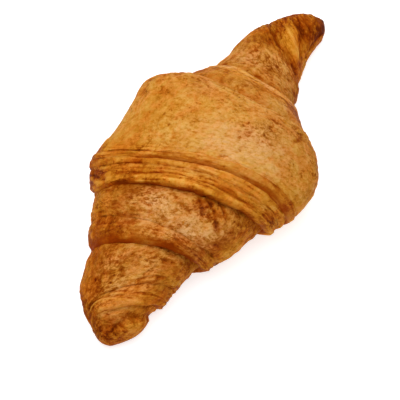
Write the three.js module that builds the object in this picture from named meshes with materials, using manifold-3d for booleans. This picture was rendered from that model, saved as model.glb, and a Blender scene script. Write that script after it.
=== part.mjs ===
// A croissant: one strip of laminated dough, rolled up and baked into a single piece.
// Millimetres, +Z up. +X runs along the roll from the blunt horn to the slender one, and the
// croissant lies on its flat browned underside, with the origin under the middle of its box.

import * as THREE from 'three';
import { mergeVertices } from 'three/addons/utils/BufferGeometryUtils.js';
import Module from 'manifold-3d';

const wasm = await Module();
wasm.setup();

// ---- Driving dimensions ----------------------------------------------------------------

// Ends of the roll along X, and how far from each end the dough rounds off.
const BLUNT_TIP = -81.5;
const SLENDER_TIP = 90;
const BLUNT_ROUNDING = 8;
const SLENDER_ROUNDING = 8;

// The loaf without its steps: at each X, the two sides of its outline seen from above and the
// height of its crest. "Front" is the -Y side, where the belly bulges most.
const LOAF = [
    { x: -80, back: 4, front: -10, crest: 18.5 },
    { x: -76, back: 9.5, front: -11, crest: 21.5 },
    { x: -71, back: 14.5, front: -12.5, crest: 25 },
    { x: -62, back: 18.5, front: -13.5, crest: 30 },
    { x: -50, back: 25, front: -16.5, crest: 38 },
    { x: -40, back: 30.5, front: -18.5, crest: 45 },
    { x: -30, back: 37.5, front: -25, crest: 51 },
    { x: -15, back: 38, front: -32, crest: 55 },
    { x: 0, back: 38.5, front: -39, crest: 57 },
    { x: 11, back: 40.5, front: -41, crest: 55.5 },
    { x: 19, back: 36.5, front: -38, crest: 51.5 },
    { x: 26, back: 31.5, front: -30.5, crest: 46.5 },
    { x: 33, back: 27.5, front: -21, crest: 41 },
    { x: 42, back: 25, front: -12.5, crest: 34 },
    { x: 55, back: 25.5, front: -6.5, crest: 28 },
    { x: 66, back: 24, front: -3, crest: 24 },
    { x: 77, back: 19, front: -1.5, crest: 19.5 },
    { x: 84, back: 13.5, front: -1.5, crest: 15.5 },
    { x: 88, back: 9.5, front: -0.5, crest: 13 },
];

// The cut edges of the strip, which wind round the roll as slanted rings. Each has its X where
// it passes the front, the crest and the back, the height of its lip at those three places, and
// the horn that the lip faces: -1 the blunt one, +1 the slender one.
const EDGES = [
    { name: 'blunt curl', at: [-57.6, -74.2, -80], lip: [0.8, 1.0, 0.4], faces: -1, rows: 5 },
    { name: 'blunt turn', at: [-49.8, -67.8, -76.5], lip: [0.8, 0.8, 0.4], faces: -1, rows: 7 },
    { name: 'shoulder lower', at: [-39.4, -50, -54], lip: [1.7, 2.0, 0.8], faces: -1, rows: 4 },
    { name: 'shoulder upper', at: [-34.2, -43.2, -47], lip: [0.6, 0.7, 0.5], faces: -1, rows: 6 },
    { name: 'belly lower', at: [-14.5, -31.2, -38.5], lip: [2.0, 2.3, 1.2], faces: -1, rows: 4 },
    { name: 'belly middle', at: [-7.5, -23, -32], lip: [0.9, 0.9, 0.7], faces: -1, rows: 3 },
    { name: 'belly upper', at: [0, -18, -28.5], lip: [0.8, 0.8, 0.6], faces: -1, rows: 5 },
    { name: 'keel', at: [12, 0, 0], lip: [0, 0, 0], faces: 0, rows: 8 },
    { name: 'neck outer', at: [37, 18.5, 18], lip: [0.8, 1.6, 2.4], faces: 1, rows: 5 },
    { name: 'neck inner', at: [44, 33.5, 34], lip: [0.8, 1.2, 0.9], faces: 1, rows: 7 },
    { name: 'slender turn', at: [54, 61.7, 70], lip: [0.8, 0.9, 0.8], faces: 1, rows: 9 },
];
const BLUNT_END_ROWS = 6;

// How far a lip hangs over the wrap below it, either side of its cut edge.
const OVERHANG = 0.5;

// An edge reaches furthest towards the slender horn this far below the front, in radians.
const EDGE_LEAN = 0.55;

// Cross section: its widest level as a share of its height, how far the round underside would
// reach below the table before it is flattened, and how square its upper and lower halves are.
const WIDEST = 0.42;
const UNDERSIDE = 1.2;
const UPPER_SQUARENESS = 2.15;
const LOWER_SQUARENESS = 2.4;

const SECTION_SIDES = 48;
const TABLE = { length: 240, width: 140, depth: 40 };

const BAKED_CRUST = new THREE.MeshStandardMaterial({
    name: 'baked crust',
    color: 0xcb8b3e,
    roughness: 0.55,
    metalness: 0,
});

// ---- The loaf's smooth outline ---------------------------------------------------------

const loaf = new THREE.CubicInterpolant(
    LOAF.map((station) => station.x),
    LOAF.flatMap(({ back, front, crest }) => [back, front, crest]),
    3,
);

// One where the roll is whole, falling to zero at each tip along a quarter of an ellipse.
function tipRounding(x) {
    const fromBlunt = THREE.MathUtils.clamp((x - BLUNT_TIP) / BLUNT_ROUNDING, 0, 1);
    const fromSlender = THREE.MathUtils.clamp((SLENDER_TIP - x) / SLENDER_ROUNDING, 0, 1);
    return Math.sqrt(1 - (1 - fromBlunt) ** 2) * Math.sqrt(1 - (1 - fromSlender) ** 2);
}

// The point of the loaf at one X and one angle round it, raised by a step. Angle 0 is the
// front, a quarter turn the crest and half a turn the back.
function surfacePoint(x, angle, step) {
    const [back, front, crest] = loaf.evaluate(x);
    const rounding = tipRounding(x);
    const middle = crest * WIDEST;
    const upper = Math.sin(angle) >= 0;
    const halfWidth = Math.max(((back - front) / 2 + step) * rounding, 1e-6);
    const rise = upper ? crest - middle + step : UNDERSIDE * middle;
    const halfHeight = Math.max(rise * rounding, 1e-6);
    const squareness = upper ? UPPER_SQUARENESS : LOWER_SQUARENESS;
    const across = Math.abs(Math.cos(angle) / halfWidth) ** squareness;
    const above = Math.abs(Math.sin(angle) / halfHeight) ** squareness;
    const radius = (across + above) ** (-1 / squareness);
    return [
        x,
        (back + front) / 2 - radius * Math.cos(angle),
        middle + radius * Math.sin(angle),
    ];
}

// ---- The cut edges ---------------------------------------------------------------------

// A value that goes round the roll as two harmonics, through what it is at the front, the
// crest and the back.
function roundTheRoll([front, crest, back], angle) {
    const swing = (front - back) / 2;
    const mean = (front + back) / 2;
    const crestFirst = Math.cos(Math.PI / 2 + EDGE_LEAN);
    const crestSecond = Math.cos(Math.PI + 2 * EDGE_LEAN);
    const second = (mean + swing * crestFirst - crest) / (1 - crestSecond);
    const turned = angle + EDGE_LEAN;
    return mean - second + swing * Math.cos(turned) + second * Math.cos(2 * turned);
}

const edgeX = (edge, angle) => roundTheRoll(edge.at, angle);
const lipHeight = (edge, angle) => Math.max(roundTheRoll(edge.lip, angle), 0);

// A wrap is the dough between two neighbouring edges. It stands up by the height of its own
// lip at the edge it owns, and has sunk by the height of the next lip where that covers it.
function wrapPoint(wrap, share, angle) {
    const { left, right } = wrap;
    const startX = left ? edgeX(left, angle) + left.faces * OVERHANG : BLUNT_TIP;
    const endX = right ? edgeX(right, angle) + right.faces * OVERHANG : SLENDER_TIP;
    const ownsLeft = left && left.faces <= 0;
    const ownsRight = right && right.faces >= 0;
    const atLeft = left ? lipHeight(left, angle) * (ownsLeft ? 1 : -1) : 0;
    const atRight = right ? lipHeight(right, angle) * (ownsRight ? 1 : -1) : 0;
    const step = atLeft * (1 - share) ** 2 + atRight * share ** 2;
    const tuckLeft = left && !ownsLeft ? -2 * left.faces * OVERHANG : 0;
    const tuckRight = right && !ownsRight ? -2 * right.faces * OVERHANG : 0;
    const x = startX + tuckLeft + (endX + tuckRight - startX - tuckLeft) * share;
    return surfacePoint(x, angle, step);
}

// Every ring of points from the blunt tip to the slender one: which wrap it is on, and its
// share of the way across that wrap. Rings crowd together towards the two tips.
function ringsAlongTheRoll() {
    const wraps = [{ left: null, right: EDGES[0], rows: BLUNT_END_ROWS }];
    EDGES.forEach((edge, i) => {
        wraps.push({ left: edge, right: EDGES[i + 1] ?? null, rows: edge.rows });
    });
    return wraps.flatMap((wrap) => {
        const shares = Array.from({ length: wrap.rows + 1 }, (_, row) => row / wrap.rows);
        return shares.map((share) => {
            if (!wrap.left) return { wrap, share: 1 - Math.cos((share * Math.PI) / 2) };
            if (!wrap.right) return { wrap, share: Math.sin((share * Math.PI) / 2) };
            return { wrap, share };
        });
    });
}

// ---- Solids ----------------------------------------------------------------------------

// A sphere whose rings of latitude become the rings along the roll, one pole at each tip.
function rolledDough() {
    const rings = ringsAlongTheRoll();
    const geometry = new THREE.SphereGeometry(1, SECTION_SIDES, rings.length - 1);
    const { position, uv } = geometry.attributes;
    for (let i = 0; i < position.count; i++) {
        const ring = rings[Math.round((1 - uv.getY(i)) * (rings.length - 1))];
        const side = Math.round(uv.getX(i) * SECTION_SIDES) % SECTION_SIDES;
        const atPole = position.getX(i) ** 2 + position.getZ(i) ** 2 < 1e-12;
        const angle = atPole ? 0 : (2 * Math.PI * side) / SECTION_SIDES;
        position.setXYZ(i, ...wrapPoint(ring.wrap, ring.share, angle));
    }
    return geometry;
}

function toSolid(geometry) {
    geometry.deleteAttribute('normal');
    geometry.deleteAttribute('uv');
    const merged = mergeVertices(geometry);
    return new wasm.Manifold(new wasm.Mesh({
        numProp: 3,
        vertProperties: merged.attributes.position.array,
        triVerts: merged.index.array,
    }));
}

function toGeometry(solid) {
    const mesh = solid.getMesh();
    const geometry = new THREE.BufferGeometry();
    geometry.setAttribute('position', new THREE.BufferAttribute(mesh.vertProperties, 3));
    geometry.setIndex(new THREE.BufferAttribute(mesh.triVerts, 1));
    geometry.computeVertexNormals();
    return geometry;
}

// The dough as it settled on the baking tray, flat underneath and centred on its own box.
function bakedCroissant() {
    const table = new THREE.BoxGeometry(TABLE.length, TABLE.width, TABLE.depth);
    table.translate(0, 0, -TABLE.depth / 2);
    const geometry = toGeometry(toSolid(rolledDough()).subtract(toSolid(table)));
    geometry.computeBoundingBox();
    const middle = geometry.boundingBox.getCenter(new THREE.Vector3());
    return geometry.translate(-middle.x, -middle.y, 0);
}

const croissant = new THREE.Mesh(bakedCroissant(), BAKED_CRUST);
croissant.name = 'croissant';

const group = new THREE.Group();
group.add(croissant);

export default group;
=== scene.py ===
# %% [markdown]
# # A baked croissant
# One strip of laminated dough, rolled up, proved and baked into a single piece. The CAD model gives
# its size and place. Here the same roll gets its overhanging cut edges, the fine layers that show
# along them, the blisters of the crust, and a browned finish whose colour also carries painted
# shade, painted highlights and a painted sheen.

# %% Load the fixed frame
import math

import bpy
import numpy as np
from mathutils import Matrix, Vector


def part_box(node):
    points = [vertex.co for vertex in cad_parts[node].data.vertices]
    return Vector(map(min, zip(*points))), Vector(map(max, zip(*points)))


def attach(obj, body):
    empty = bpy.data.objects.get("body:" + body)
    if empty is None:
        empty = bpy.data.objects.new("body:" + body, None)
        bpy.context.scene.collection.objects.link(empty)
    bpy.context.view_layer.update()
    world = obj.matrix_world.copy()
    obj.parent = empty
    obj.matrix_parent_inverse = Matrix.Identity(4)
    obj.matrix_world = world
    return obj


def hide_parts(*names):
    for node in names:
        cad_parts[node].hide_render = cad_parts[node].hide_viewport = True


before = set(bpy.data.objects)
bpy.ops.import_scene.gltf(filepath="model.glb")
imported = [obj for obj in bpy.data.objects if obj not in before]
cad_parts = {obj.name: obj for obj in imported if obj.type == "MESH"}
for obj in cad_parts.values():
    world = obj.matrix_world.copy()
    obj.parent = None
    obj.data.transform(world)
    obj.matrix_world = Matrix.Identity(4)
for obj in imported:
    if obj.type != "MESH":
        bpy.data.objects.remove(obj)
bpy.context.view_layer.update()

BOX_LOW, BOX_HIGH = (np.array(corner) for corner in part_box("croissant"))
MM = 0.001
print("CAD box, mm:", np.round((BOX_HIGH - BOX_LOW) / MM, 1))

# %% [markdown]
# ## The loaf under the wraps
# A croissant could be sculpted, or swept as a tube along a curve. Here it is a surface of two
# parameters instead, one along the roll and one round it, because every cut edge then follows
# a line of the grid and stays crisp. First comes the smooth loaf: its outline seen from above
# and the height of its crest, at stations along X, in millimetres.

# %% The smooth loaf
BLUNT_TIP, SLENDER_TIP = -81.5, 90.0
BLUNT_ROUNDING, SLENDER_ROUNDING = 8.0, 8.0

# x, back, front, crest: typed by hand, with back and front then corrected to the differences
# that a separate script measured in the outline
LOAF = np.array([
    (-80, 4, -8, 18.5),
    (-76, 9.2, -9.6, 21.5),
    (-71, 13.9, -12.2, 25),
    (-66, 15.6, -12.6, 27.8),
    (-62, 17.4, -12.4, 30),
    (-56, 19.8, -13.4, 34),
    (-50, 24.6, -14.8, 38),
    (-40, 29.6, -16.6, 45),
    (-30, 39.0, -24.4, 51),
    (-15, 37, -28.4, 55),
    (0, 37.8, -37.4, 57),
    (11, 38.4, -37.9, 55.5),
    (19, 32.0, -35.4, 51.5),
    (26, 27.9, -30.4, 46.5),
    (33, 25, -20.2, 41),
    (42, 23.2, -11.4, 34),
    (55, 23.6, -5.2, 28),
    (66, 22.2, -1, 24),
    (77, 17.6, -0.2, 19.5),
    (84, 11.2, 0, 15.5),
    (88, 7.8, 0.4, 13),
], float)


def loaf_at(x):
    """Back, front and crest at each x: a cubic between neighbouring stations, whose slope at a
    station is the slope of the line that joins the stations on either side of it."""
    at, values = LOAF[:, 0], LOAF[:, 1:]
    slopes = np.gradient(values, at, axis=0)
    x = np.clip(x, at[0], at[-1])
    i = np.clip(np.searchsorted(at, x, side="right") - 1, 0, len(at) - 2)
    gap = (at[i + 1] - at[i])[..., None]
    t = (x - at[i])[..., None] / gap
    return ((1 + 2 * t) * (1 - t) ** 2 * values[i] + t * (1 - t) ** 2 * gap * slopes[i]
            + t ** 2 * (3 - 2 * t) * values[i + 1] - t ** 2 * (1 - t) * gap * slopes[i + 1])


def tip_rounding(x):
    """One along the roll, falling to zero at each tip as a quarter of an ellipse does."""
    blunt = np.clip((x - BLUNT_TIP) / BLUNT_ROUNDING, 0, 1)
    slender = np.clip((SLENDER_TIP - x) / SLENDER_ROUNDING, 0, 1)
    return np.sqrt(1 - (1 - blunt) ** 2) * np.sqrt(1 - (1 - slender) ** 2)


WIDEST = 0.42            # the widest level, as a share of the height
UNDERSIDE = 1.2          # how far the round underside would reach, before it is flattened
UPPER_SQUARENESS, LOWER_SQUARENESS = 2.15, 2.4


def loaf_surface(x, angle, step):
    """Points of the loaf, raised by a step. Round the roll it is a superellipse,
    |y / half width| ** n + |z / half height| ** n = 1, squarer below than above. Angle 0 is
    the front, a quarter turn the crest and half a turn the back."""
    back, front, crest = np.moveaxis(loaf_at(x), -1, 0)
    rounding = tip_rounding(x)
    middle = crest * WIDEST
    upper = np.sin(angle) >= 0
    rise = np.where(upper, crest - middle + step, UNDERSIDE * middle)
    power = np.where(upper, UPPER_SQUARENESS, LOWER_SQUARENESS)
    half_width = np.maximum(((back - front) / 2 + step) * rounding, 1e-6)
    half_height = np.maximum(rise * rounding, 1e-6)
    radius = (np.abs(np.cos(angle) / half_width) ** power
              + np.abs(np.sin(angle) / half_height) ** power) ** (-1 / power)
    return np.stack([x, (back + front) / 2 - radius * np.cos(angle),
                     middle + radius * np.sin(angle)], -1)


print("loaf at its belly, mm: back, front, crest =", np.round(loaf_at(np.array(11.0)), 1))

# %% [markdown]
# ## Noise for dough
# Dough is never regular, so every line and level gets a little noise. Blender's own noise
# textures could drive a Displace modifier, but the same numbers are wanted for the shape and
# for the browning, so the noise is worked out here, as whole arrays, from fixed seeds.

# %% Gradient noise
def dough_noise(points, seed):
    """Smooth noise from -1 to 1 at points (..., 3). Each corner of a unit lattice has a random
    slope, and the value is the eight slopes' heights, blended by a quintic in each axis."""
    rng = np.random.default_rng(seed)
    order = np.tile(rng.permutation(256), 3)
    slopes = rng.normal(size=(256, 3))
    slopes /= np.linalg.norm(slopes, axis=1, keepdims=True)
    cell = np.floor(points).astype(int)
    inside = points - cell
    blend = inside ** 3 * (inside * (inside * 6 - 15) + 10)
    total = np.zeros(points.shape[:-1])
    for corner in np.ndindex(2, 2, 2):
        i, j, k = np.moveaxis((cell + corner) % 256, -1, 0)
        slope = slopes[order[order[order[i] + j] + k]]
        height = ((inside - corner) * slope).sum(-1)
        weight = np.where(corner, blend, 1 - blend).prod(-1)
        total += weight * height
    return total * 1.6


def rough_noise(points, seed, octaves=4, fall=0.55):
    """Several layers of dough noise, each twice as fine and a fixed share as strong."""
    layers = [fall ** n * dough_noise(points * 2.0 ** n, seed + n) for n in range(octaves)]
    return sum(layers) / sum(fall ** n for n in range(octaves))


def round_noise(angle, bumps, seed):
    """Noise round the roll, with about that many bumps to a turn and no seam."""
    ring = np.stack([np.cos(angle), np.sin(angle), np.zeros_like(angle)], -1)
    return rough_noise(ring * bumps / math.tau, seed, octaves=3)


def ramp(value, low, high):
    """Zero below low, one above high, and an S curve between."""
    t = np.clip((value - low) / (high - low), 0, 1)
    return t * t * (3 - 2 * t)


# %% [markdown]
# ## The cut edges
# The strip's cut edges wind round the roll. Seen along the roll, each one is a slanted ring,
# so it is written as its X at the front, the crest and the back. Left of the belly the lips
# face the blunt horn, and right of it they face the slender one. A lip has a height and a
# depth: a shallow one is a crisp step, a deep one is a sloping, baked face.

# %% Where the cut edges run
SECTION_SIDES = 208      # points round the roll
CLOSER_ABOVE = 0.42      # how far the points are drawn from the underside to the crust, radians
EDGE_LEAN = 0.55         # the lowest part of an edge is this far under the front, radians

# name, then three values at the low front / crest / upper back for its x, its lip and its face's
# depth, then the way it faces, its raggedness, and how dark the painted shade in its crevice is. The
# x values began as a least-squares fit made by a separate script. Some are still its results,
# unchanged, and the others were moved. The lips, depths and the rest were chosen.
EDGES = [
    ("blunt curl", (-57.6, -74.2, -80.3), (1.0, 1.2, 0.4), (1.5, 1.8, 0.8), -1, 0.5, 0.3),
    ("blunt turn", (-49.8, -67.8, -77), (0.7, 0.6, 0.3), (1.5, 1.5, 0.8), -1, 0.7, 0.35),
    ("shoulder lower", (-38.0, -50.8, -56), (2.1, 2.1, 0.9), (0.9, 4.0, 3.6), -1, 0.4, 1.0),
    ("shoulder upper", (-33.2, -43.2, -47.5), (0.5, 0.6, 0.5), (0.8, 1.0, 1.0), -1, 0.5, 0.5),
    ("belly lower", (-11.2, -31.0, -38.5), (2.0, 2.0, 0.6), (1.3, 1.2, 0.8), -1, 0.4, 1.0),
    ("belly middle", (-6.8, -22.8, -32), (0.5, 0.55, 0.8), (0.7, 0.8, 2.2), -1, 0.4, 0.45),
    ("belly upper", (-3.8, -19.8, -29.8), (1.0, 1.1, 0.7), (2.8, 3.0, 1.6), -1, 0.3, 1.0),
    ("belly rim", (0.8, -16.6, -26.5), (0.7, 0.6, 0.25), (0.6, 0.6, 0.6), -1, 0.4, 0.6),
    ("neck outer", (37, 18.5, 18), (0.5, 1.3, 2.2), (0.7, 0.8, 1.2), 1, 0.4, 0.8),
    ("neck inner", (44, 33.5, 33), (0.6, 1.6, 1.2), (0.7, 0.7, 0.8), 1, 0.4, 0.9),
    ("slender turn", (54, 61.7, 70.5), (0.8, 0.9, 0.6), (2.2, 2.4, 1.6), 1, 0.5, 0.3),
]
NAMES, EDGE_PLACES, LIP_HEIGHTS, FACE_DEPTHS, FACING, RAGGEDNESS, CREVICE_SHADE_STRENGTH = zip(*EDGES)


def section_angles():
    """Angles round the roll, packed more closely over the crust than on the underside."""
    even = np.arange(SECTION_SIDES) / SECTION_SIDES * math.tau
    return even + CLOSER_ABOVE * np.cos(even)


ANGLE = section_angles()
LOW_ANGLE = (ANGLE + math.pi) % math.tau - math.pi      # the same, from minus half a turn


def round_the_roll(low_crest_back, angle):
    """Two harmonics of t, the angle plus the lean: mean - share + swing cos t + share cos 2t.
    They pass the given values low at the front (t = 0), at the crest, and high at the back
    (t = half a turn)."""
    low, crest, back = low_crest_back
    swing, mean = (low - back) / 2, (low + back) / 2
    first, second = math.cos(math.pi / 2 + EDGE_LEAN), math.cos(math.pi + 2 * EDGE_LEAN)
    share = (mean + swing * first - crest) / (1 - second)
    turned = angle + EDGE_LEAN
    return mean - share + swing * np.cos(turned) + share * np.cos(2 * turned)


WAVE_HEIGHT, WAVES_ROUND = 1.1, 9        # mm, and how many to a turn
NICK_HEIGHT, NICKS_ROUND = 0.55, 46
FOOT_SHIFT = 2.4         # how far the feet of the middle wraps are dragged along, mm
FOOT_ANGLE, FOOT_SPREAD = -0.42, 0.42


def ragged_edge(number):
    """The X of a cut edge at each angle: its slanted ring, with waves of a few millimetres
    and a finer raggedness where the knife dragged the layers. The feet of the middle wraps
    are dragged towards the slender horn, as a bell curve of the angle."""
    ragged = RAGGEDNESS[number]
    waves = WAVE_HEIGHT * ragged * round_noise(ANGLE, WAVES_ROUND, 100 + number)
    nicks = NICK_HEIGHT * ragged * round_noise(ANGLE, NICKS_ROUND, 200 + number)
    dragged = NAMES[number].startswith(("belly", "shoulder"))
    foot = FOOT_SHIFT * dragged * np.exp(-((LOW_ANGLE - FOOT_ANGLE) / FOOT_SPREAD) ** 2)
    return round_the_roll(EDGE_PLACES[number], ANGLE) + foot + waves + nicks


LEAST_LIP, LEAST_DEPTH = 0.12, 0.4
UNEVENNESS, LUMPS_ROUND = 0.25, 14


def lip_at(number):
    """The half height of a lip at each angle: smooth round the roll, and uneven by a quarter."""
    level = round_the_roll(LIP_HEIGHTS[number], ANGLE)
    uneven = 1 + UNEVENNESS * round_noise(ANGLE, LUMPS_ROUND, 300 + number)
    return np.maximum(level, LEAST_LIP) * uneven


EDGE_X = np.array([ragged_edge(n) for n in range(len(EDGES))])
LIP = np.array([lip_at(n) for n in range(len(EDGES))])
DEPTH = np.array([np.maximum(round_the_roll(depths, ANGLE), LEAST_DEPTH)
                  for depths in FACE_DEPTHS])
print("edges cross the crest at, mm:", np.round(EDGE_X[:, SECTION_SIDES // 4], 1))

# %% [markdown]
# ## Rings along the roll
# Each wrap owns one lip. From that lip its skin runs inwards, swells a little, and dives under
# the next wrap. A lip is half an ellipse in profile, standing over the wrap below, so a real
# dark crevice opens under it. The rings crowd together at the lips and on the layered bands.

# %% Lay the rings
ROW_STEP = 0.50          # usual spacing of the rings on the skin, mm
LAYERED_STEP = 0.38      # spacing on the wraps whose cut layers show, mm
LAYERED = ("shoulder lower", "belly lower", "belly middle", "belly upper")
FACE_ROWS = 9            # rings over one lip, from the crevice to its brow
UNDERCUT = 1.3           # the furthest a lip overhangs, mm
DIVE = 7.0               # a wrap starts to sink this far from the edge that covers it, mm
SWELL_SHARE, MOST_SWELL = 0.035, 1.2     # of a wrap's width, and in mm
LOW_NOSE = 0.6           # how low a deep lip's nose lies, as a share of its half height


def face_rings(number):
    """The rings over one lip. From the crevice to the brow the profile is two quarters of an
    ellipse: x = edge + depth (1 - cos a), with a from -90 to 90 degrees. A deep lip is a slope:
    it is barely undercut, and its nose lies low."""
    facing, depth = FACING[number], DEPTH[number]
    turn = np.linspace(-math.pi / 2, math.pi / 2, FACE_ROWS)[:, None]
    reach = np.where(turn < 0, np.minimum(depth, UNDERCUT), depth)
    nose = -LOW_NOSE * np.clip((depth - 1) / 1.5, 0, 1)
    x = EDGE_X[number] - facing * reach * (1 - np.cos(turn))
    step = LIP[number] * (nose + (1 - np.sign(turn) * nose) * np.sin(turn))
    order = slice(None) if facing < 0 else slice(None, None, -1)
    return x[order], step[order]


def skin_rings(left, right, spacing):
    """The rings between two edges. Height above the loaf is the wrap's own lip, easing off
    with distance, less the next lip where the wrap dives under it, plus a gentle swelling."""
    owns_left = left is None or FACING[left] < 0
    owns_right = right is None or FACING[right] > 0

    def end(number, tip, owned):
        if number is None:
            return np.full(SECTION_SIDES, tip), np.zeros(SECTION_SIDES)
        reach = DEPTH[number] if owned else np.minimum(DEPTH[number], UNDERCUT)
        return EDGE_X[number] - FACING[number] * reach, LIP[number] * (1 if owned else -1)

    x0, s0 = end(left, BLUNT_TIP, owns_left)
    x1, s1 = end(right, SLENDER_TIP, owns_right)
    width = x1 - x0
    count = max(int(np.mean(width) / spacing), 3)
    share = np.linspace(0, 1, count + 1)[:, None]
    if left is None:
        share = 1 - np.cos(share * math.pi / 2)
    if right is None:
        share = np.sin(share * math.pi / 2)
    from_left, to_right = share * width, (1 - share) * width
    reach = np.minimum(DIVE, 0.6 * width)
    ease_left = (1 - ramp(from_left, 0, reach)) if not owns_left else (1 - share) ** 1.5
    ease_right = (1 - ramp(to_right, 0, reach)) if not owns_right else share ** 1.5
    between_edges = left is not None and right is not None
    swell = between_edges * SWELL_SHARE * width * 4 * share * (1 - share)
    return x0 + from_left, s0 * ease_left + s1 * ease_right + np.minimum(swell, MOST_SWELL)


def lay_rings():
    """All rings from tip to tip: X, height above the loaf, and the edge whose lip each ring is
    on, or -1. A ring that two neighbours share is laid once."""
    x_rows, step_rows, on_edge = [], [], []

    def add(x, step, edge, skip):
        x_rows.append(x[skip:])
        step_rows.append(step[skip:])
        on_edge.extend([edge] * len(x[skip:]))

    ends = [None, *range(len(EDGES)), None]
    for left, right in zip(ends[:-1], ends[1:]):
        layered = left is not None and right is not None and NAMES[left] in LAYERED
        x, step = skin_rings(left, right, LAYERED_STEP if layered else ROW_STEP)
        add(x, step, -1, 0 if left is None else 1)
        if right is not None:
            add(*face_rings(right), right, 1)
    return np.concatenate(x_rows), np.concatenate(step_rows), np.array(on_edge)


RING_X, RING_STEP, RING_EDGE = lay_rings()
RINGS = len(RING_X)
print("rings:", RINGS, "points round each:", SECTION_SIDES,
      "triangles:", 2 * (RINGS - 1) * SECTION_SIDES)

# %% [markdown]
# ## Distances that the shape and the browning share
# What happens to the dough depends on how far it is from each cut edge, and on which side. So
# each grid point gets its distance from every edge, counted inwards from the lip on the wrap
# that owns it, and outwards on the wrap that it covers.

# %% Distance from each edge
def sides_of_edges():
    """For each edge, two arrays over the grid: distance in from the lip on the owner's side
    (infinite elsewhere), and distance out from the crevice on the covered side."""
    inward, outward = [], []
    for number, facing in enumerate(FACING):
        rows = np.flatnonzero(RING_EDGE == number)
        row = np.arange(RINGS)
        owner = row >= rows[0] if facing < 0 else row <= rows[-1]
        distance = (RING_X - EDGE_X[number]) * -facing
        inward.append(np.where(owner[:, None], np.maximum(distance, 0), np.inf))
        outward.append(np.where(owner[:, None], np.inf, np.maximum(DEPTH[number] - distance, 0)))
    return np.array(inward), np.array(outward)


INWARD, OUTWARD = sides_of_edges()


def near(distance, reach):
    """One at an edge, falling off smoothly with distance."""
    return np.exp(-np.minimum(distance, 1e3) / reach)


def of(name):
    """The number of a named edge."""
    return NAMES.index(name)


base_points = loaf_surface(RING_X, np.broadcast_to(ANGLE, RING_X.shape), RING_STEP)
ALONG = np.broadcast_to(RING_X.mean(1)[:, None], RING_X.shape)
# Noise sampled in these coordinates runs along the cut edges, not across them.
ROLLED = np.stack([ALONG, base_points[..., 1], base_points[..., 2]], -1)

# %% [markdown]
# ## Strokes on the roll
# Some marks happened only once, and a mask is wanted for each. A mask could be painted by hand,
# but a short stroke from one place to another, given by X in millimetres and the angle in
# degrees, is easier to move and keeps its width when the loaf changes.

# %% Strokes on the roll
def roll_radius():
    """The mean of half the width and half the height at each point's X."""
    back, front, crest = np.moveaxis(loaf_at(RING_X), -1, 0)
    return (back - front + crest) / 4


RADIUS = roll_radius()


def stroke(start, end, width):
    """One along a stroke between two places on the roll, falling off beside it as a bell curve
    of that width in millimetres. A place is (x, degrees)."""
    x = RING_X - start[0]
    arc = (ANGLE - math.radians(start[1]) + math.pi) % math.tau - math.pi
    y = arc * RADIUS
    run_x = end[0] - start[0]
    run_y = math.radians(end[1] - start[1]) * RADIUS
    share = np.clip((x * run_x + y * run_y) / (run_x ** 2 + run_y ** 2 + 1e-6), 0, 1)
    return np.exp(-((x - share * run_x) ** 2 + (y - share * run_y) ** 2) / width ** 2)


def strokes(places, width):
    """The strongest of the strokes that join a list of places."""
    return np.max([stroke(a, b, width) for a, b in zip(places[:-1], places[1:])], axis=0)


print("mean radius of the roll, mm, from", RADIUS.min().round(1), "to", RADIUS.max().round(1))

# %% [markdown]
# ## Relief of the crust
# The crust has swellings of a few centimetres from proving, blisters of a few millimetres from
# the steam under the skin, fine wrinkles that run along the wraps, and the layers themselves,
# which stand out as thin ridges beside each cut edge.

# %% Swellings, blisters and wrinkles
def folded_noise(points, seed):
    """Noise folded at zero: round tops at 1, with creases between them."""
    return 1 - 2 * np.abs(dough_noise(points, seed))


def summed(layers, points, noise=dough_noise):
    """The sum of several noises, each given as (height, size in millimetres, seed). A size of
    three numbers stretches the noise differently along the roll and round it."""
    return sum(height * noise(points / size, seed) for height, size, seed in layers)


# how strongly the cut layers show on the wrap that owns each of these edges
LAYERS_SHOW = {"belly lower": 1.0, "belly middle": 1.0, "belly upper": 1.0,
               "shoulder lower": 0.8, "shoulder upper": 0.35, "blunt curl": 0.8,
               "neck inner": 1.0}
LAYERS_FULL, LAYERS_GONE = 4, 8          # distance in from the lip, mm


def layering():
    """Where the cut layers show as long streaks along the roll, 0 to 1: in from each lip, and
    on the smooth fold of the slender horn."""
    slender_fold = 0.9 * strokes([(60, 40), (68, 62), (72, 92)], 7)
    bands = [share * (1 - ramp(INWARD[of(name)], LAYERS_FULL, LAYERS_GONE))
             for name, share in LAYERS_SHOW.items()]
    return np.max([slender_fold] + bands, axis=0)


LAYERS = layering()
SWELLINGS = summed([(1.0, 27, 11), (0.55, 12, 12)], ROLLED)
STREAKS = summed([(0.12, (1.7, 6, 6), 15), (0.10, (1.1, 3, 3), 16)], ROLLED)


def blisters():
    """Small rounded bubbles of three sizes, pushed about so that they don't line up, and lower
    where the layers show."""
    push = np.stack([dough_noise(ROLLED / 5, seed) for seed in (17, 18, 19)], -1)
    patchy = 0.55 + 0.75 * ramp(dough_noise(ROLLED / 11, 20), -0.4, 0.5)
    bubbles = summed([(0.22, (8.0, 10, 10), 25), (0.24, (4.2, 5.4, 5.4), 13),
                      (0.15, (2.2, 2.8, 2.8), 14)], ROLLED + 1.6 * push, folded_noise)
    return patchy * (1 - 0.6 * LAYERS) * bubbles


BUBBLES = blisters()


def layers_beside(name, reach, pitch, height):
    """Thin ridges parallel to a cut edge: a sine of the distance in from the lip, whose phase
    drifts with noise, strongest at the lip."""
    inward = INWARD[of(name)]
    drift = 1.3 * dough_noise(ROLLED / (30, 17, 17), 400 + of(name))
    wave = np.sin(math.tau * (np.minimum(inward, 1e3) / pitch + drift))
    patchy = 0.8 + 0.5 * dough_noise(ROLLED / (4, 16, 16), 500 + of(name))
    return height * wave * patchy * (1 - ramp(inward, 0.6 * reach, reach))


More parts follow.
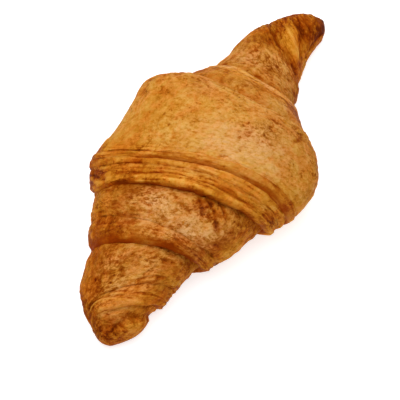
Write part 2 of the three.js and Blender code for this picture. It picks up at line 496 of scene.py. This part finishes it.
# cut edge, how far in the ridges reach, their pitch and their height, mm
RIDGES = [
    ("belly lower", 9.0, 2.0, 0.21),
    ("belly middle", 6.0, 2.2, 0.16),
    ("shoulder lower", 7.0, 1.9, 0.16),
    ("shoulder upper", 4.0, 1.8, 0.10),
    ("blunt turn", 5.0, 2.2, 0.24),
    ("blunt curl", 8.0, 2.0, 0.28),
    ("neck outer", 6.0, 2.0, 0.14),
    ("neck inner", 6.0, 2.0, 0.14),
    ("slender turn", 7.0, 2.2, 0.18),
]
LAYER_RIDGES = sum(layers_beside(*ridge) for ridge in RIDGES)
print("blisters, mm, from", BUBBLES.min().round(2), "to", BUBBLES.max().round(2))

# %% [markdown]
# ## Marks of its own
# Noise makes dough look like dough, but a croissant also has marks that happened once: a fold
# pinched where the roll ended, a scorched blister, a crack. A few rows are painted light and shade
# instead: painted highlights on the belly and a lip, painted light on the top of the blunt horn, and
# painted shade on its back and in a pocket. They could be modelled one by one. Here each is a row of
# a table instead: a mask of strokes, how far it stands proud, and how much browner or paler it makes
# the crust, so shape and colour can't disagree.

# %% Marks on the roll
GOLDEN_FOLD = strokes([(61.5, 48), (64.5, 60), (69, 76)], 2.6)
RUMPLED = strokes([(-23, 58), (-26.5, 38)], 4.5)
SLENDER_NUB = ramp(RING_X, 66, 74) * (1 - ramp(ANGLE, 1.2, 1.7))

# name: the mask, its height in mm (below zero for a hollow), and its browning, which for some marks
# is painted shade or painted light. A separate script worked out where some of these places lie on
# the roll, and they were then rounded by hand.
MARKS = {
    "golden fold": (GOLDEN_FOLD, 1.4, -0.42),
    "valley beside the fold": (strokes([(56, 42), (60, 66), (66, 92), (71, 112)], 2.0), -0.7, 0.08),
    "hollow under the fold": (strokes([(64, 34), (70, 56), (77, 84)], 1.6), -0.5, 0.14),
    "slender nub": (SLENDER_NUB * (1 - GOLDEN_FOLD), 0, 0.30),
    "back of the nub": (stroke((73, 110), (84, 120), 9), 0, 0.10),
    "crease of the tip": (strokes([(67, 14), (74, 20), (81, 30)], 1.3), -0.6, 0.34),
    "notch of the blunt end": (
        strokes([(-59.5, -50), (-63, -10), (-67, 24), (-71, 44), (-77, 57)], 1.2), -1.5, 0.16),
    "blister of the blunt end": (strokes([(-69, 14), (-73, 34)], 3.4), 0.9, -0.16),
    "curls": (np.maximum(strokes([(-68.5, 42), (-72.5, 58), (-78, 76)], 0.8),
                         strokes([(-71, 66), (-75, 82), (-79.5, 110)], 0.8)), -0.6, 0.08),
    "ridge of the curl": (strokes([(-76, 92), (-71, 72), (-68, 57), (-62.4, 31)], 1.5), 0.5, -0.14),
    "brown blunt tip": (stroke((-80, 50), (-74, 30), 7), 0, 0.10),
    # Painted shade on the back of the blunt horn, and painted light on its top.
    "painted shade on the back of the blunt horn": (stroke((-62, 118), (-44, 112), 9), 0, 0.10),
    "painted light on the top of the blunt horn": (stroke((-64, 80), (-57, 74), 7), 0, -0.10),
    "pinches": (np.maximum.reduce([strokes([(-23.2, 55), (-25.2, 46), (-28, 36)], 0.6),
                                   strokes([(-25.0, 60), (-27, 53), (-29, 49)], 0.6),
                                   strokes([(-21.5, 44), (-24.0, 34)], 0.6)]), -0.7, 0.26),
    "rumpled skin": (RUMPLED * folded_noise(ROLLED / 3.0, 31), 0.7, 0),
    "browned rumples": (RUMPLED, 0, 0.10),
    "scorched blister": (stroke((-29, 34), (-28.4, 36), 1.5), -0.5, 0.45),
    "brown patch": (strokes([(-30, 24), (-22, 16), (-16, 8)], 7) * (1 - RUMPLED), 0, 0.08),
    "brown foot": (stroke((-25.5, 26), (-18, 30), 4.5), 0, 0.12),
    "low front": (strokes([(-27, 20), (-16, 26), (-8, 4)], 6), 0, 0.14),
    # Painted highlight on the left lip of the second wrap.
    "painted highlight on the left lip": (strokes([(-41, 74), (-39, 60), (-37, 40)], 5), 0, -0.10),
    # A real hollow, darkened further by painted shade.
    "painted shade in the pocket under the belly": (strokes([(-36.0, 136), (-34.5, 146), (-33.5, 158)], 1.8), -0.9, 0.26),
    "dull back of the belly": (stroke((-31, 172), (-28, 154), 7), 0, 0.21),
    "burnt pits": (np.maximum.reduce([stroke((-4.5, 66), (-3.0, 66), 0.9),
                                      stroke((-1.5, 65), (-1.0, 64), 0.7),
                                      stroke((-8.8, 70), (-8.5, 69), 0.9),
                                      stroke((-2.4, 61), (-2.0, 60), 0.6)]), -0.4, 0.40),
    "crack": (strokes([(14.5, 44), (18.5, 41.5), (24, 39)], 0.55), -0.45, 0.30),
    # Painted highlight on the belly, near its crest.
    "painted highlight on the belly": (strokes([(-8.5, 84), (-6.0, 68), (-2.5, 56)], 6.5), 0, -0.38),
    "corner of the belly": (stroke((26, 34), (33, 20), 11), 0, 0.18),
}
MARKS_HEIGHT = sum(mask * height for mask, height, _ in MARKS.values())
MARKS_BROWNING_AND_LIGHT = sum(mask * browner for mask, _, browner in MARKS.values())
RELIEF = SWELLINGS + BUBBLES + STREAKS + LAYER_RIDGES + MARKS_HEIGHT
print(len(MARKS), "marks; relief, mm, from", RELIEF.min().round(2), "to", RELIEF.max().round(2))

# %% [markdown]
# ## Raise the relief, and settle the loaf
# A displacement texture would push the skin out at render time only. Moving the points
# themselves, along the loaf's own normals, keeps the relief in the mesh. A soft croissant also
# flattens where it bakes on its tray, so whatever would hang below the tray is pressed level.

# %% Raise the relief and settle the loaf on its tray
def outward_normals(points):
    """Unit normals of a grid closed round the roll: the cross product of the differences to
    the neighbours along the roll and round it."""
    along = np.gradient(points, axis=0)
    around = np.roll(points, -1, axis=1) - np.roll(points, 1, axis=1)
    normal = np.cross(around, along)
    return normal / np.maximum(np.linalg.norm(normal, axis=-1, keepdims=True), 1e-9)


def settle(height, softness=0.5):
    """Flattens what would be below the tray, with a small soft corner where it lifts off:
    softness times log(1 + exp(height / softness)), in millimetres."""
    return softness * np.logaddexp(0, height / softness)


normals = outward_normals(base_points)
if (normals * (base_points - base_points.mean(1, keepdims=True))).sum() < 0:
    normals = -normals
calm = np.minimum(tip_rounding(RING_X) * 1.2, 1)[..., None]
points = base_points + normals * RELIEF[..., None] * calm
points[0] = points[0].mean(0)
points[-1] = points[-1].mean(0)
points[..., 2] = settle(points[..., 2])
print("height above the tray, mm, up to", points[..., 2].max().round(1))

# %% [markdown]
# ## Fit the surface to the CAD box
# The roll was worked out in millimetres about its own middle. The CAD box says where the
# croissant is, so the points are placed by that box and not by eye. One even scale keeps the
# proportions.

# %% Fit the surface to the CAD box
def into_box(points):
    """Centres the points over the CAD model's box, stands them on its floor, and scales them
    evenly to its length."""
    low, high = points.min((0, 1)), points.max((0, 1))
    scale = (BOX_HIGH - BOX_LOW)[0] / (high - low)[0]
    middle = (low + high) / 2
    middle[2] = low[2]
    place = (BOX_LOW + BOX_HIGH) / 2
    place[2] = BOX_LOW[2]
    return (points - middle) * scale + place


placed = into_box(points)
print("visual box, mm:", np.round((placed.max((0, 1)) - placed.min((0, 1))) / MM, 1))

# %% [markdown]
# ## Browning, painted shade and painted light
# Horns are thin and bake darkest, and the skin round a cut edge goes browner. Painted shade darkens
# the hollows, the crevices and the skin under the lips, where it is a deep red-brown, and painted
# light makes the tops of the blisters, some brows and the low front of the belly paler. Browning
# could be one noise texture, but then it would ignore the shape. It is worked out here per point,
# from the same distances and relief as the shape, and the material reads it as an attribute.

# %% Browning, painted light, and painted shade in the crevices
CREVICE_REACH = {-1: 1.9, 1: 3.0}        # how far the shade spreads, by the way a lip faces, mm


def crevices():
    """Depth of the painted shade at each point, 0 to 1: on the covered wrap it falls off with
    distance, and on the lip's face it is full in the crevice and gone at the brow."""
    total = np.zeros_like(RING_X)
    for number, facing in enumerate(FACING):
        strength = CREVICE_SHADE_STRENGTH[number] * np.clip(LIP[number], 0.4, 1)
        covered = near(OUTWARD[number], CREVICE_REACH[facing])
        deep = ramp(DEPTH[number], 1.2, 3.0)
        rise = 0.5 + 0.5 * RING_STEP / LIP[number]
        bare = 1 - ramp(rise, 0.25 + 0.4 * deep, 1.0)
        face = np.where((RING_EDGE == number)[:, None], bare, 0)
        total = np.maximum(total, strength * np.maximum(covered, face))
    return np.clip(total, 0, 1)


def ridge_line(name, distance, width):
    """A band along a cut edge, for how far in from its lip the skin is:
    exp of minus ((inward - distance) / width) squared."""
    return np.exp(-((INWARD[of(name)] - distance) / width) ** 2)


def browning_by_place():
    """Darker horns and tips, painted light that lifts the shaded low front of the belly, and a paler
    back of the belly.
    """
    x, height, depth = RING_X, np.sin(ANGLE), -np.cos(ANGLE)
    horns = (0.22 * (1 - ramp(x, -60, -10)) + 0.16 * (1 - ramp(x, -83, -70))
             + 0.22 * ramp(x, 8, 55) + 0.12 * ramp(x, 66, 86))
    # Painted light: the low front of the belly is made paler, lifting the shade that falls there.
    low = -0.09 * (1 - ramp(height, -0.3, 0.55)) * ramp(x, -14, 4)
    back = -0.09 * ramp(depth, 0.1, 0.8) * (1 - ramp(x, -14, 6)) * ramp(x, -60, -40)
    return horns + low + back


def browning_by_patch():
    """Uneven patches of three sizes, painted shade in the hollows with painted light on the tops of
    the blisters, and a calmer blunt horn.
    """
    patches = summed([(0.19, 18, 21), (0.15, 7, 22), (0.11, (2.4, 4.0, 4.0), 24)], ROLLED)
    # Painted shade in the hollows and painted light on the tops of the blisters and streaks.
    hollows = -0.45 * STREAKS - 0.55 * (BUBBLES - BUBBLES.mean())
    calmer = 1 - 0.45 * (1 - ramp(RING_X, -60, -46))
    return (patches + hollows) * calmer - 0.60 * LAYER_RIDGES


def browning_by_edge():
    """Brown bands in from the big lips, painted shade on the wrap under them, painted highlights
    along the brows on top of them, and a paler lip low at the front of the belly."""
    bands = (0.12 * near(INWARD[of("belly lower")], 8)
             + 0.20 * near(INWARD[of("shoulder lower")], 6))
    # Painted shade on the covered wrap, under the big lips.
    under = (0.16 * near(OUTWARD[of("belly lower")], 5)
             + 0.14 * near(OUTWARD[of("shoulder lower")], 4))
    rim = (0.20 * near(OUTWARD[of("belly upper")], 2.2)
           + 0.16 * near(OUTWARD[of("belly rim")], 2.6)
           + 0.10 * ridge_line("belly lower", 3.6, 1.0)
           - 0.14 * ridge_line("belly middle", 2.0, 1.1))
    crest_only = ramp(np.sin(ANGLE), 0.3, 0.8)
    # Painted highlights along the brows of the belly's lower lip and the neck's inner lip.
    brows = (0.26 * ridge_line("belly lower", 1.7, 0.8) * crest_only
             + 0.208 * ridge_line("neck inner", 1.6, 1.1))
    front_only = ramp(np.cos(ANGLE), 0.5, 0.95)
    front_lip = 0.22 * near(INWARD[of("belly lower")], 4) * front_only
    return bands + under + rim - brows - front_lip


BASE_BROWNING = 0.235    # before place, patches, edges and marks add to it or take from it


def browning():
    """How brown the crust is, with painted shade and painted light added, 0 pale to 1 dark."""
    return np.clip(BASE_BROWNING + browning_by_place() + browning_by_patch()
                   + browning_by_edge() + MARKS_BROWNING_AND_LIGHT, 0, 1)


def frosting():
    """Where a pale, broken painted sheen lies, 0 to 1, in place of highlights: mostly on the tops of
    the wraps, and never in the crevices."""
    belly = np.maximum(strokes([(-9, 86), (2, 64), (9, 54)], 14),
                       strokes([(14, 110), (24, 80), (26, 60)], 13))
    pale_belly = stroke((-5, 76), (3, 58), 9)
    horns = np.maximum(0.9 * strokes([(-70, 80), (-60, 88), (-54, 66)], 7),
                       strokes([(44, 118), (46, 84), (47, 56)], 8))
    second_wrap = np.isfinite(OUTWARD[of("belly lower")])
    shoulder = strokes([(-37, 82), (-36, 60), (-32, 42)], 9.5) * second_wrap
    # Painted sheen: pale peach highlights on the belly, the horns, the neck's inner lip and the
    # second wrap, strongest on the blister tops.
    film = (0.31 * belly + 0.45 * pale_belly + 0.36 * horns
            + 0.5 * ridge_line("neck inner", 1.8, 1.2)
            + 0.78 * shoulder * (1 - 0.7 * RUMPLED))
    broken = 0.85 + 0.6 * dough_noise(ROLLED / 6, 23) + 1.2 * (BUBBLES - BUBBLES.mean())
    return np.clip(film * broken, 0, 1) * (1 - CREVICE_SHADE) ** 2


# Painted shade: how far each point is darkened towards deep red in the crevices and under the lips.
CREVICE_SHADE = crevices()
BROWNING_AND_PAINTED_LIGHT = browning()
PAINTED_SHEEN = frosting()
print("mean browning:", BROWNING_AND_PAINTED_LIGHT.mean().round(3), "mean crevice:", CREVICE_SHADE.mean().round(3))

# %% [markdown]
# ## The mesh
# The grid is closed round the roll and ends in one point at each tip. Faces are laid so that they
# point outwards. Attributes carry the browning with its painted shade and light, the painted shade
# of the crevices, the painted sheen, the layers and the rolled coordinates to the material.

# %% Build the croissant
def roll_faces(rings, sides):
    """Quads between neighbouring rings and a fan at each tip, as vertex numbers. Point 0 is
    the blunt tip and the last point the slender one."""
    ring, side = np.meshgrid(np.arange(rings - 1), np.arange(sides), indexing="ij")
    a = 1 + ring * sides + side
    b = 1 + ring * sides + (side + 1) % sides
    quads = np.stack([a, b, b + sides, a + sides], -1).reshape(-1, 4)
    first = np.arange(sides)
    blunt = np.stack([np.zeros(sides, int), 1 + (first + 1) % sides, 1 + first], -1)
    last = 1 + (rings - 1) * sides
    slender = np.stack([np.full(sides, last + sides), last + first,
                        last + (first + 1) % sides], -1)
    return quads, np.concatenate([blunt, slender])


def closed_list(grid):
    """A grid of rings as a list of points, with each tip's ring made one point."""
    inner = grid[1:-1].reshape(-1, *grid.shape[2:])
    return np.concatenate([grid[0][:1], inner, grid[-1][:1]])


def add_attribute(mesh, name, kind, values):
    """Stores one value or vector per point in the mesh."""
    field = "vector" if kind == "FLOAT_VECTOR" else "value"
    attribute = mesh.attributes.new(name, kind, "POINT")
    attribute.data.foreach_set(field, np.ascontiguousarray(values, np.float32).ravel())


def make_croissant():
    """The croissant's mesh object, with its attributes."""
    quads, fans = roll_faces(RINGS - 2, SECTION_SIDES)
    corners = closed_list(placed)
    mesh = bpy.data.meshes.new("croissant_crust")
    mesh.from_pydata(corners.tolist(), [], quads.tolist() + fans.tolist())
    if signed_volume(corners, quads) < 0:
        mesh.flip_normals()
    mesh.shade_smooth()
    # The browning carries painted shade and painted light, the crevice attribute painted shade, and
    # the painted sheen its pale peach.
    add_attribute(mesh, "browning", "FLOAT", closed_list(BROWNING_AND_PAINTED_LIGHT))
    add_attribute(mesh, "crevice", "FLOAT", closed_list(CREVICE_SHADE))
    add_attribute(mesh, "frosting", "FLOAT", closed_list(PAINTED_SHEEN))
    add_attribute(mesh, "layers", "FLOAT", closed_list(LAYERS))
    add_attribute(mesh, "rolled", "FLOAT_VECTOR", closed_list(ROLLED) * MM)
    mesh.validate()
    piece = bpy.data.objects.new("croissant_crust", mesh)
    bpy.context.scene.collection.objects.link(piece)
    return piece


def signed_volume(corners, quads):
    """A closed surface's volume from its quads: a sixth of the sum of each triangle's triple
    product, positive where faces point outwards."""
    a, b, c, d = np.moveaxis(corners[quads], 1, 0)
    return ((np.cross(a, b) * c).sum() + (np.cross(a, c) * d).sum()) / 6


croissant = make_croissant()
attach(croissant, "root")
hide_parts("croissant")
print("croissant:", len(croissant.data.vertices), "points,",
      len(croissant.data.polygons), "faces")

# %% [markdown]
# ## A helper for the finish
# A finish is a graph of nodes. It can be drawn by hand in the shader editor, or written as
# code, which is long when every link is a line. A small class keeps each step to one call.

# %% A small helper for nodes
class Nodes:
    """Adds nodes to a material and links them, so that a finish reads as a list of steps."""

    def __init__(self, material):
        self.tree = material.node_tree
        self.tree.nodes.clear()

    def add(self, kind, inputs=None, **settings):
        """One node, with its settings, and its inputs linked or filled in by name or number."""
        node = self.tree.nodes.new(kind)
        for name, value in settings.items():
            setattr(node, name, value)
        for name, value in (inputs or {}).items():
            if isinstance(value, bpy.types.NodeSocket):
                self.tree.links.new(value, node.inputs[name])
            else:
                node.inputs[name].default_value = value
        return node

    def attribute(self, name, output):
        """A mesh attribute's output socket."""
        return self.add("ShaderNodeAttribute", attribute_name=name).outputs[output]

    def math(self, operation, *values):
        """One Math node on up to three values."""
        return self.add("ShaderNodeMath", dict(enumerate(values)), operation=operation).outputs[0]

    def total(self, *values):
        """The sum of two or more values."""
        result = values[0]
        for value in values[1:]:
            result = self.math("ADD", result, value)
        return result

    def product(self, *values):
        """Two or more values multiplied together."""
        result = values[0]
        for value in values[1:]:
            result = self.math("MULTIPLY", result, value)
        return result

    def blend(self, share, first, second):
        """A mix of two colours: none of the second at 0, all of it at 1."""
        node = self.add("ShaderNodeMix", {0: share, 6: first, 7: second}, data_type="RGBA")
        return node.outputs[2]

    def scaled(self, vector, scale):
        """A vector multiplied by a scale in each axis."""
        node = self.add("ShaderNodeVectorMath", {0: vector, 1: scale}, operation="MULTIPLY")
        return node.outputs[0]

    def noise(self, vector, scale, detail=3.0, roughness=0.55, distortion=0.0):
        """Noise from 0 to 1 at a scale in cells per metre."""
        inputs = {"Vector": vector, "Scale": scale, "Detail": detail,
                  "Roughness": roughness, "Distortion": distortion}
        return self.add("ShaderNodeTexNoise", inputs).outputs[0]

    def range(self, value, from_low, from_high, to_low, to_high):
        """A value carried from one range to another, and held at the ends."""
        inputs = {"Value": value, "From Min": from_low, "From Max": from_high,
                  "To Min": to_low, "To Max": to_high}
        return self.add("ShaderNodeMapRange", inputs, interpolation_type="SMOOTHSTEP").outputs[0]

    def colours(self, value, stops):
        """A colour ramp, from (place, colour) stops."""
        node = self.add("ShaderNodeValToRGB", {0: value})
        elements = node.color_ramp.elements
        while len(elements) < len(stops):
            elements.new(0.5)
        for element, (place, colour) in zip(elements, stops):
            element.position = place
            element.color = (*colour, 1.0)
        return node.outputs[0]


print("node helpers:", len([name for name in vars(Nodes) if not name.startswith("_")]))

# %% [markdown]
# ## The crust's finish
# Crust goes from cream through gold and amber to chestnut as it gets hotter. An image could be
# painted on, but it would fit one size and one side only. Here the mesh's own browning, with painted
# shade and painted light in it, gives the broad colour, and a pale peach painted sheen lies where
# highlights would fall. Noise that follows the rolled dough pushes it up or down in speckles and
# streaks, and one ramp colours the sum.

# %% Colours of the crust
CREAM = (0.86, 0.47, 0.110)
PALE_GOLD = (0.81, 0.385, 0.058)
GOLD = (0.68, 0.247, 0.017)
AMBER = (0.43, 0.105, 0.004)
CHESTNUT = (0.25, 0.042, 0.001)
SCORCHED = (0.14, 0.020, 0.001)
# Painted shade: the deep red that the crevices and the skin under the lips are darkened to.
PAINTED_SHADE_RED = (0.34, 0.047, 0.001)       # the shaded crevices
# Painted sheen: a pale peach put where highlights would fall on the tops of the wraps.
PAINTED_SHEEN_PEACH = (0.95, 0.52, 0.205)        # painted sheen on the tops of the wraps
REDDER = (1.06, 0.85, 0.85)           # what warm regions are multiplied by
BROWNING_RAMP = [(0.0, CREAM), (0.20, PALE_GOLD), (0.46, GOLD), (0.69, AMBER),
                 (0.88, CHESTNUT), (1.0, SCORCHED)]
print("colours on the browning ramp:", len(BROWNING_RAMP))


# %% Noise on the crust
def crust_noises(nodes):
    """The noises that colour and bump share, by name, with scales in cells per metre. Streaks
    run round the roll, so their noise is stretched that way."""
    rolled = nodes.attribute("rolled", "Vector")
    skin = nodes.scaled(rolled, (1.4, 1.0, 1.0))
    streaked = nodes.scaled(rolled, (1.3, 0.15, 0.15))
    return {
        "crinkles": nodes.noise(skin, 420, 6.0, 0.72, 0.35),
        "flecks": nodes.noise(skin, 700, 5.0, 0.76, 0.1),
        "streaks": nodes.noise(streaked, 640, 4.0, 0.62, 0.4),
        "specks": nodes.noise(rolled, 720, 2.0, 0.5, 0.3),
        "regions": nodes.noise(rolled, 95, 3.0, 0.6, 0.4),
        "warmth": nodes.noise(rolled, 140, 4.0, 0.65, 0.6),
        "grain": nodes.noise(rolled, 1900, 3.0, 0.6),
    }


# %% How brown each spot is
def crust_level(nodes, noises, layers, loose):
    """Browning from the mesh, painted shade and painted light included, plus texture: crinkles where
    the skin is loose, streaks where the layers show, and flecks and dark specks all over."""
    busy = nodes.range(noises["regions"], 0.38, 0.62, 0.65, 1.25)
    texture = nodes.total(
        nodes.product(nodes.range(noises["crinkles"], 0.33, 0.67, 0.22, -0.22), loose),
        nodes.product(nodes.range(noises["streaks"], 0.34, 0.66, 0.19, -0.19), layers),
        nodes.range(noises["flecks"], 0.42, 0.60, -0.08, 0.10),
        nodes.range(noises["specks"], 0.62, 0.68, 0.0, 0.20))
    # The mesh's browning carries painted shade and painted light as well.
    browned = nodes.total(nodes.attribute("browning", "Fac"), nodes.product(texture, busy))
    return nodes.total(0.2, nodes.product(browned, 0.8))


# %% The crust's colour
def crust_colour(nodes, noises, level):
    """The browning ramp, redder in warm regions, under a broken painted sheen that keeps to the pale
    spots, and deep red painted shade in the crevices."""
    golden = nodes.colours(level, BROWNING_RAMP)
    warm = nodes.range(noises["warmth"], 0.42, 0.60, 0.0, 0.85)
    crust = nodes.blend(warm, golden, nodes.scaled(golden, REDDER))
    pale_only = nodes.range(level, 0.38, 0.74, 1.15, 0.15)
    # Painted sheen: the pale peach goes where highlights would fall, and only on the paler crust.
    frost = nodes.product(nodes.attribute("frosting", "Fac"), pale_only)
    broken = nodes.total(nodes.range(noises["flecks"], 0.62, 0.40, 0.0, 0.60),
                         nodes.range(noises["crinkles"], 0.40, 0.60, 0.0, 0.40))
    with_painted_sheen = nodes.blend(nodes.product(frost, broken), crust, (*PAINTED_SHEEN_PEACH, 1.0))
    # Painted shade: deep red in the crevices and under the lips.
    crevice = nodes.product(nodes.attribute("crevice", "Fac"),
                            nodes.range(noises["streaks"], 0.36, 0.62, 1.0, 0.66))
    return nodes.blend(crevice, with_painted_sheen, (*PAINTED_SHADE_RED, 1.0))


# %% The baked crust
def baked_crust():
    """The whole finish: a colour that carries painted shade and a painted sheen, a faint sheen of
    its own, and bump for what is too fine for the mesh.
    """
    material = bpy.data.materials.new("baked_crust")
    material.use_nodes = True
    nodes = Nodes(material)
    noises = crust_noises(nodes)
    layers = nodes.attribute("layers", "Fac")
    loose = nodes.math("SUBTRACT", 1.0, nodes.product(layers, 0.65))
    level = crust_level(nodes, noises, layers, loose)
    colour = crust_colour(nodes, noises, level)
    relief = nodes.total(nodes.product(noises["crinkles"], loose),
                         nodes.product(noises["flecks"], 0.5),
                         nodes.product(noises["streaks"], layers, 0.5),
                         nodes.product(noises["grain"], 0.25))
    bump = nodes.add("ShaderNodeBump", {"Strength": 0.9, "Distance": 0.0018, "Height": relief})
    satin = nodes.range(noises["crinkles"], 0.35, 0.65, 0.48, 0.32)
    surface = nodes.add("ShaderNodeBsdfPrincipled", {
        "Base Color": colour, "Roughness": satin, "Normal": bump.outputs[0],
        "Specular IOR Level": 0.003, "Specular Tint": (1.0, 0.75, 0.45, 1.0)})
    nodes.add("ShaderNodeOutputMaterial", {"Surface": surface.outputs[0]})
    return material


croissant.data.materials.append(baked_crust())
print("finish nodes:", len(croissant.data.materials[0].node_tree.nodes))

# %% [markdown]
# ## Floor
# The croissant lies on a plain pale ground with hardly a shadow on it. A curved studio sweep
# would do the same, but one flat square is enough when nothing behind it shows. It glows a
# little by itself, which thins the shadow.

# %% Floor
FLOOR_HALF = 1.5                # half the floor's side, m
FLOOR_GAP = 0.0002              # how far it is below the croissant, m
FLOOR_GREY, FLOOR_GLOW = 0.62, 0.70


def make_floor():
    """One flat square under the croissant."""
    half = FLOOR_HALF
    z = float(BOX_LOW[2]) - FLOOR_GAP
    corners = [(-half, -half, z), (half, -half, z), (half, half, z), (-half, half, z)]
    floor_mesh = bpy.data.meshes.new("floor")
    floor_mesh.from_pydata(corners, [], [(0, 1, 2, 3)])
    floor = bpy.data.objects.new("floor", floor_mesh)
    bpy.context.scene.collection.objects.link(floor)
    paint = bpy.data.materials.new("pale_floor")
    paint.use_nodes = True
    shader = paint.node_tree.nodes["Principled BSDF"]
    shader.inputs["Base Color"].default_value = (FLOOR_GREY, FLOOR_GREY, FLOOR_GREY, 1)
    shader.inputs["Roughness"].default_value = 0.9
    shader.inputs["Emission Color"].default_value = (1, 1, 1, 1)
    shader.inputs["Emission Strength"].default_value = FLOOR_GLOW
    floor_mesh.materials.append(paint)
    return floor


floor = make_floor()
print("floor at z =", round(float(BOX_LOW[2]) - FLOOR_GAP, 4))

# %% [markdown]
# ## Light
# A sun would draw hard shadows in every crevice. A broad square lamp above wraps round the
# roll instead, a weak one at the side keeps the wraps apart, and a plain white sky fills in
# what they leave dark.

# %% Light
MIDDLE = Vector((BOX_LOW + BOX_HIGH) / 2)


def soft_lamp(name, direction, distance, size, watts):
    """A square lamp in a given direction from the croissant, facing it."""
    lamp = bpy.data.lights.new(name, "AREA")
    lamp.size, lamp.energy = size, watts
    holder = bpy.data.objects.new(name, lamp)
    holder.location = MIDDLE + Vector(direction).normalized() * distance
    holder.rotation_euler = (MIDDLE - holder.location).to_track_quat("-Z", "Y").to_euler()
    bpy.context.scene.collection.objects.link(holder)
    return holder


# name: direction from the croissant, distance and side in metres, power in watts
LAMPS = {"overhead": ((0.03, 0.05, 1.0), 0.8, 0.7, 7.2),
         "side": ((-0.9, 0.5, 0.8), 0.9, 0.5, 0.6)}
SKY_STRENGTH = 0.26

for lamp_name, (direction, distance, side, watts) in LAMPS.items():
    soft_lamp(lamp_name, direction, distance, side, watts)
sky = bpy.data.worlds.new("studio")
sky.use_nodes = True
sky.node_tree.nodes["Background"].inputs["Color"].default_value = (1, 1, 1, 1)
sky.node_tree.nodes["Background"].inputs["Strength"].default_value = SKY_STRENGTH
bpy.context.scene.world = sky
bpy.context.scene.view_settings.view_transform = "Standard"
print("lamps:", len(LAMPS), "sky:", SKY_STRENGTH)

# %% [markdown]
# ## Camera
# A wide lens close by would swell the nearer horn. A long lens keeps both horns true. It looks
# down along the roll from the blunt horn's side, and its aim is a little off the middle.

# %% Camera
# These six were fitted to the outline by an optimiser, then rounded, apart from the distance, which
# was chosen.
AZIMUTH, ELEVATION = math.radians(-57.5), math.radians(63.4)
DISTANCE, LENS = 0.6, 135.0
AIM_ACROSS, AIM_UP = -0.0067, -0.0174
AIM_HEIGHT = 0.022              # above the underside, m
SENSOR = 36.0


def make_camera():
    """A long lens that looks along a given azimuth and elevation, aimed a little beside the
    middle so that the croissant sits where it should in the frame."""
    back = Vector((math.sin(AZIMUTH) * math.cos(ELEVATION),
                   -math.cos(AZIMUTH) * math.cos(ELEVATION), math.sin(ELEVATION)))
    across = Vector((math.cos(AZIMUTH), math.sin(AZIMUTH), 0))
    centre = Vector((MIDDLE.x, MIDDLE.y, BOX_LOW[2] + AIM_HEIGHT))
    aim = centre + across * AIM_ACROSS + back.cross(across) * AIM_UP
    lens = bpy.data.cameras.new("camera")
    lens.lens, lens.sensor_width = LENS, SENSOR
    lens.clip_start, lens.clip_end = 0.01, 10.0
    camera = bpy.data.objects.new("camera", lens)
    camera.location = centre + back * DISTANCE
    camera.rotation_euler = (aim - camera.location).to_track_quat("-Z", "Y").to_euler()
    bpy.context.scene.collection.objects.link(camera)
    bpy.context.scene.camera = camera


make_camera()
print("camera:", LENS, "mm lens,", DISTANCE, "m away")

# %% [markdown]
# ## Update the view layer
# Blender works out every object's place once more.

# %% Update the view layer
bpy.context.view_layer.update()
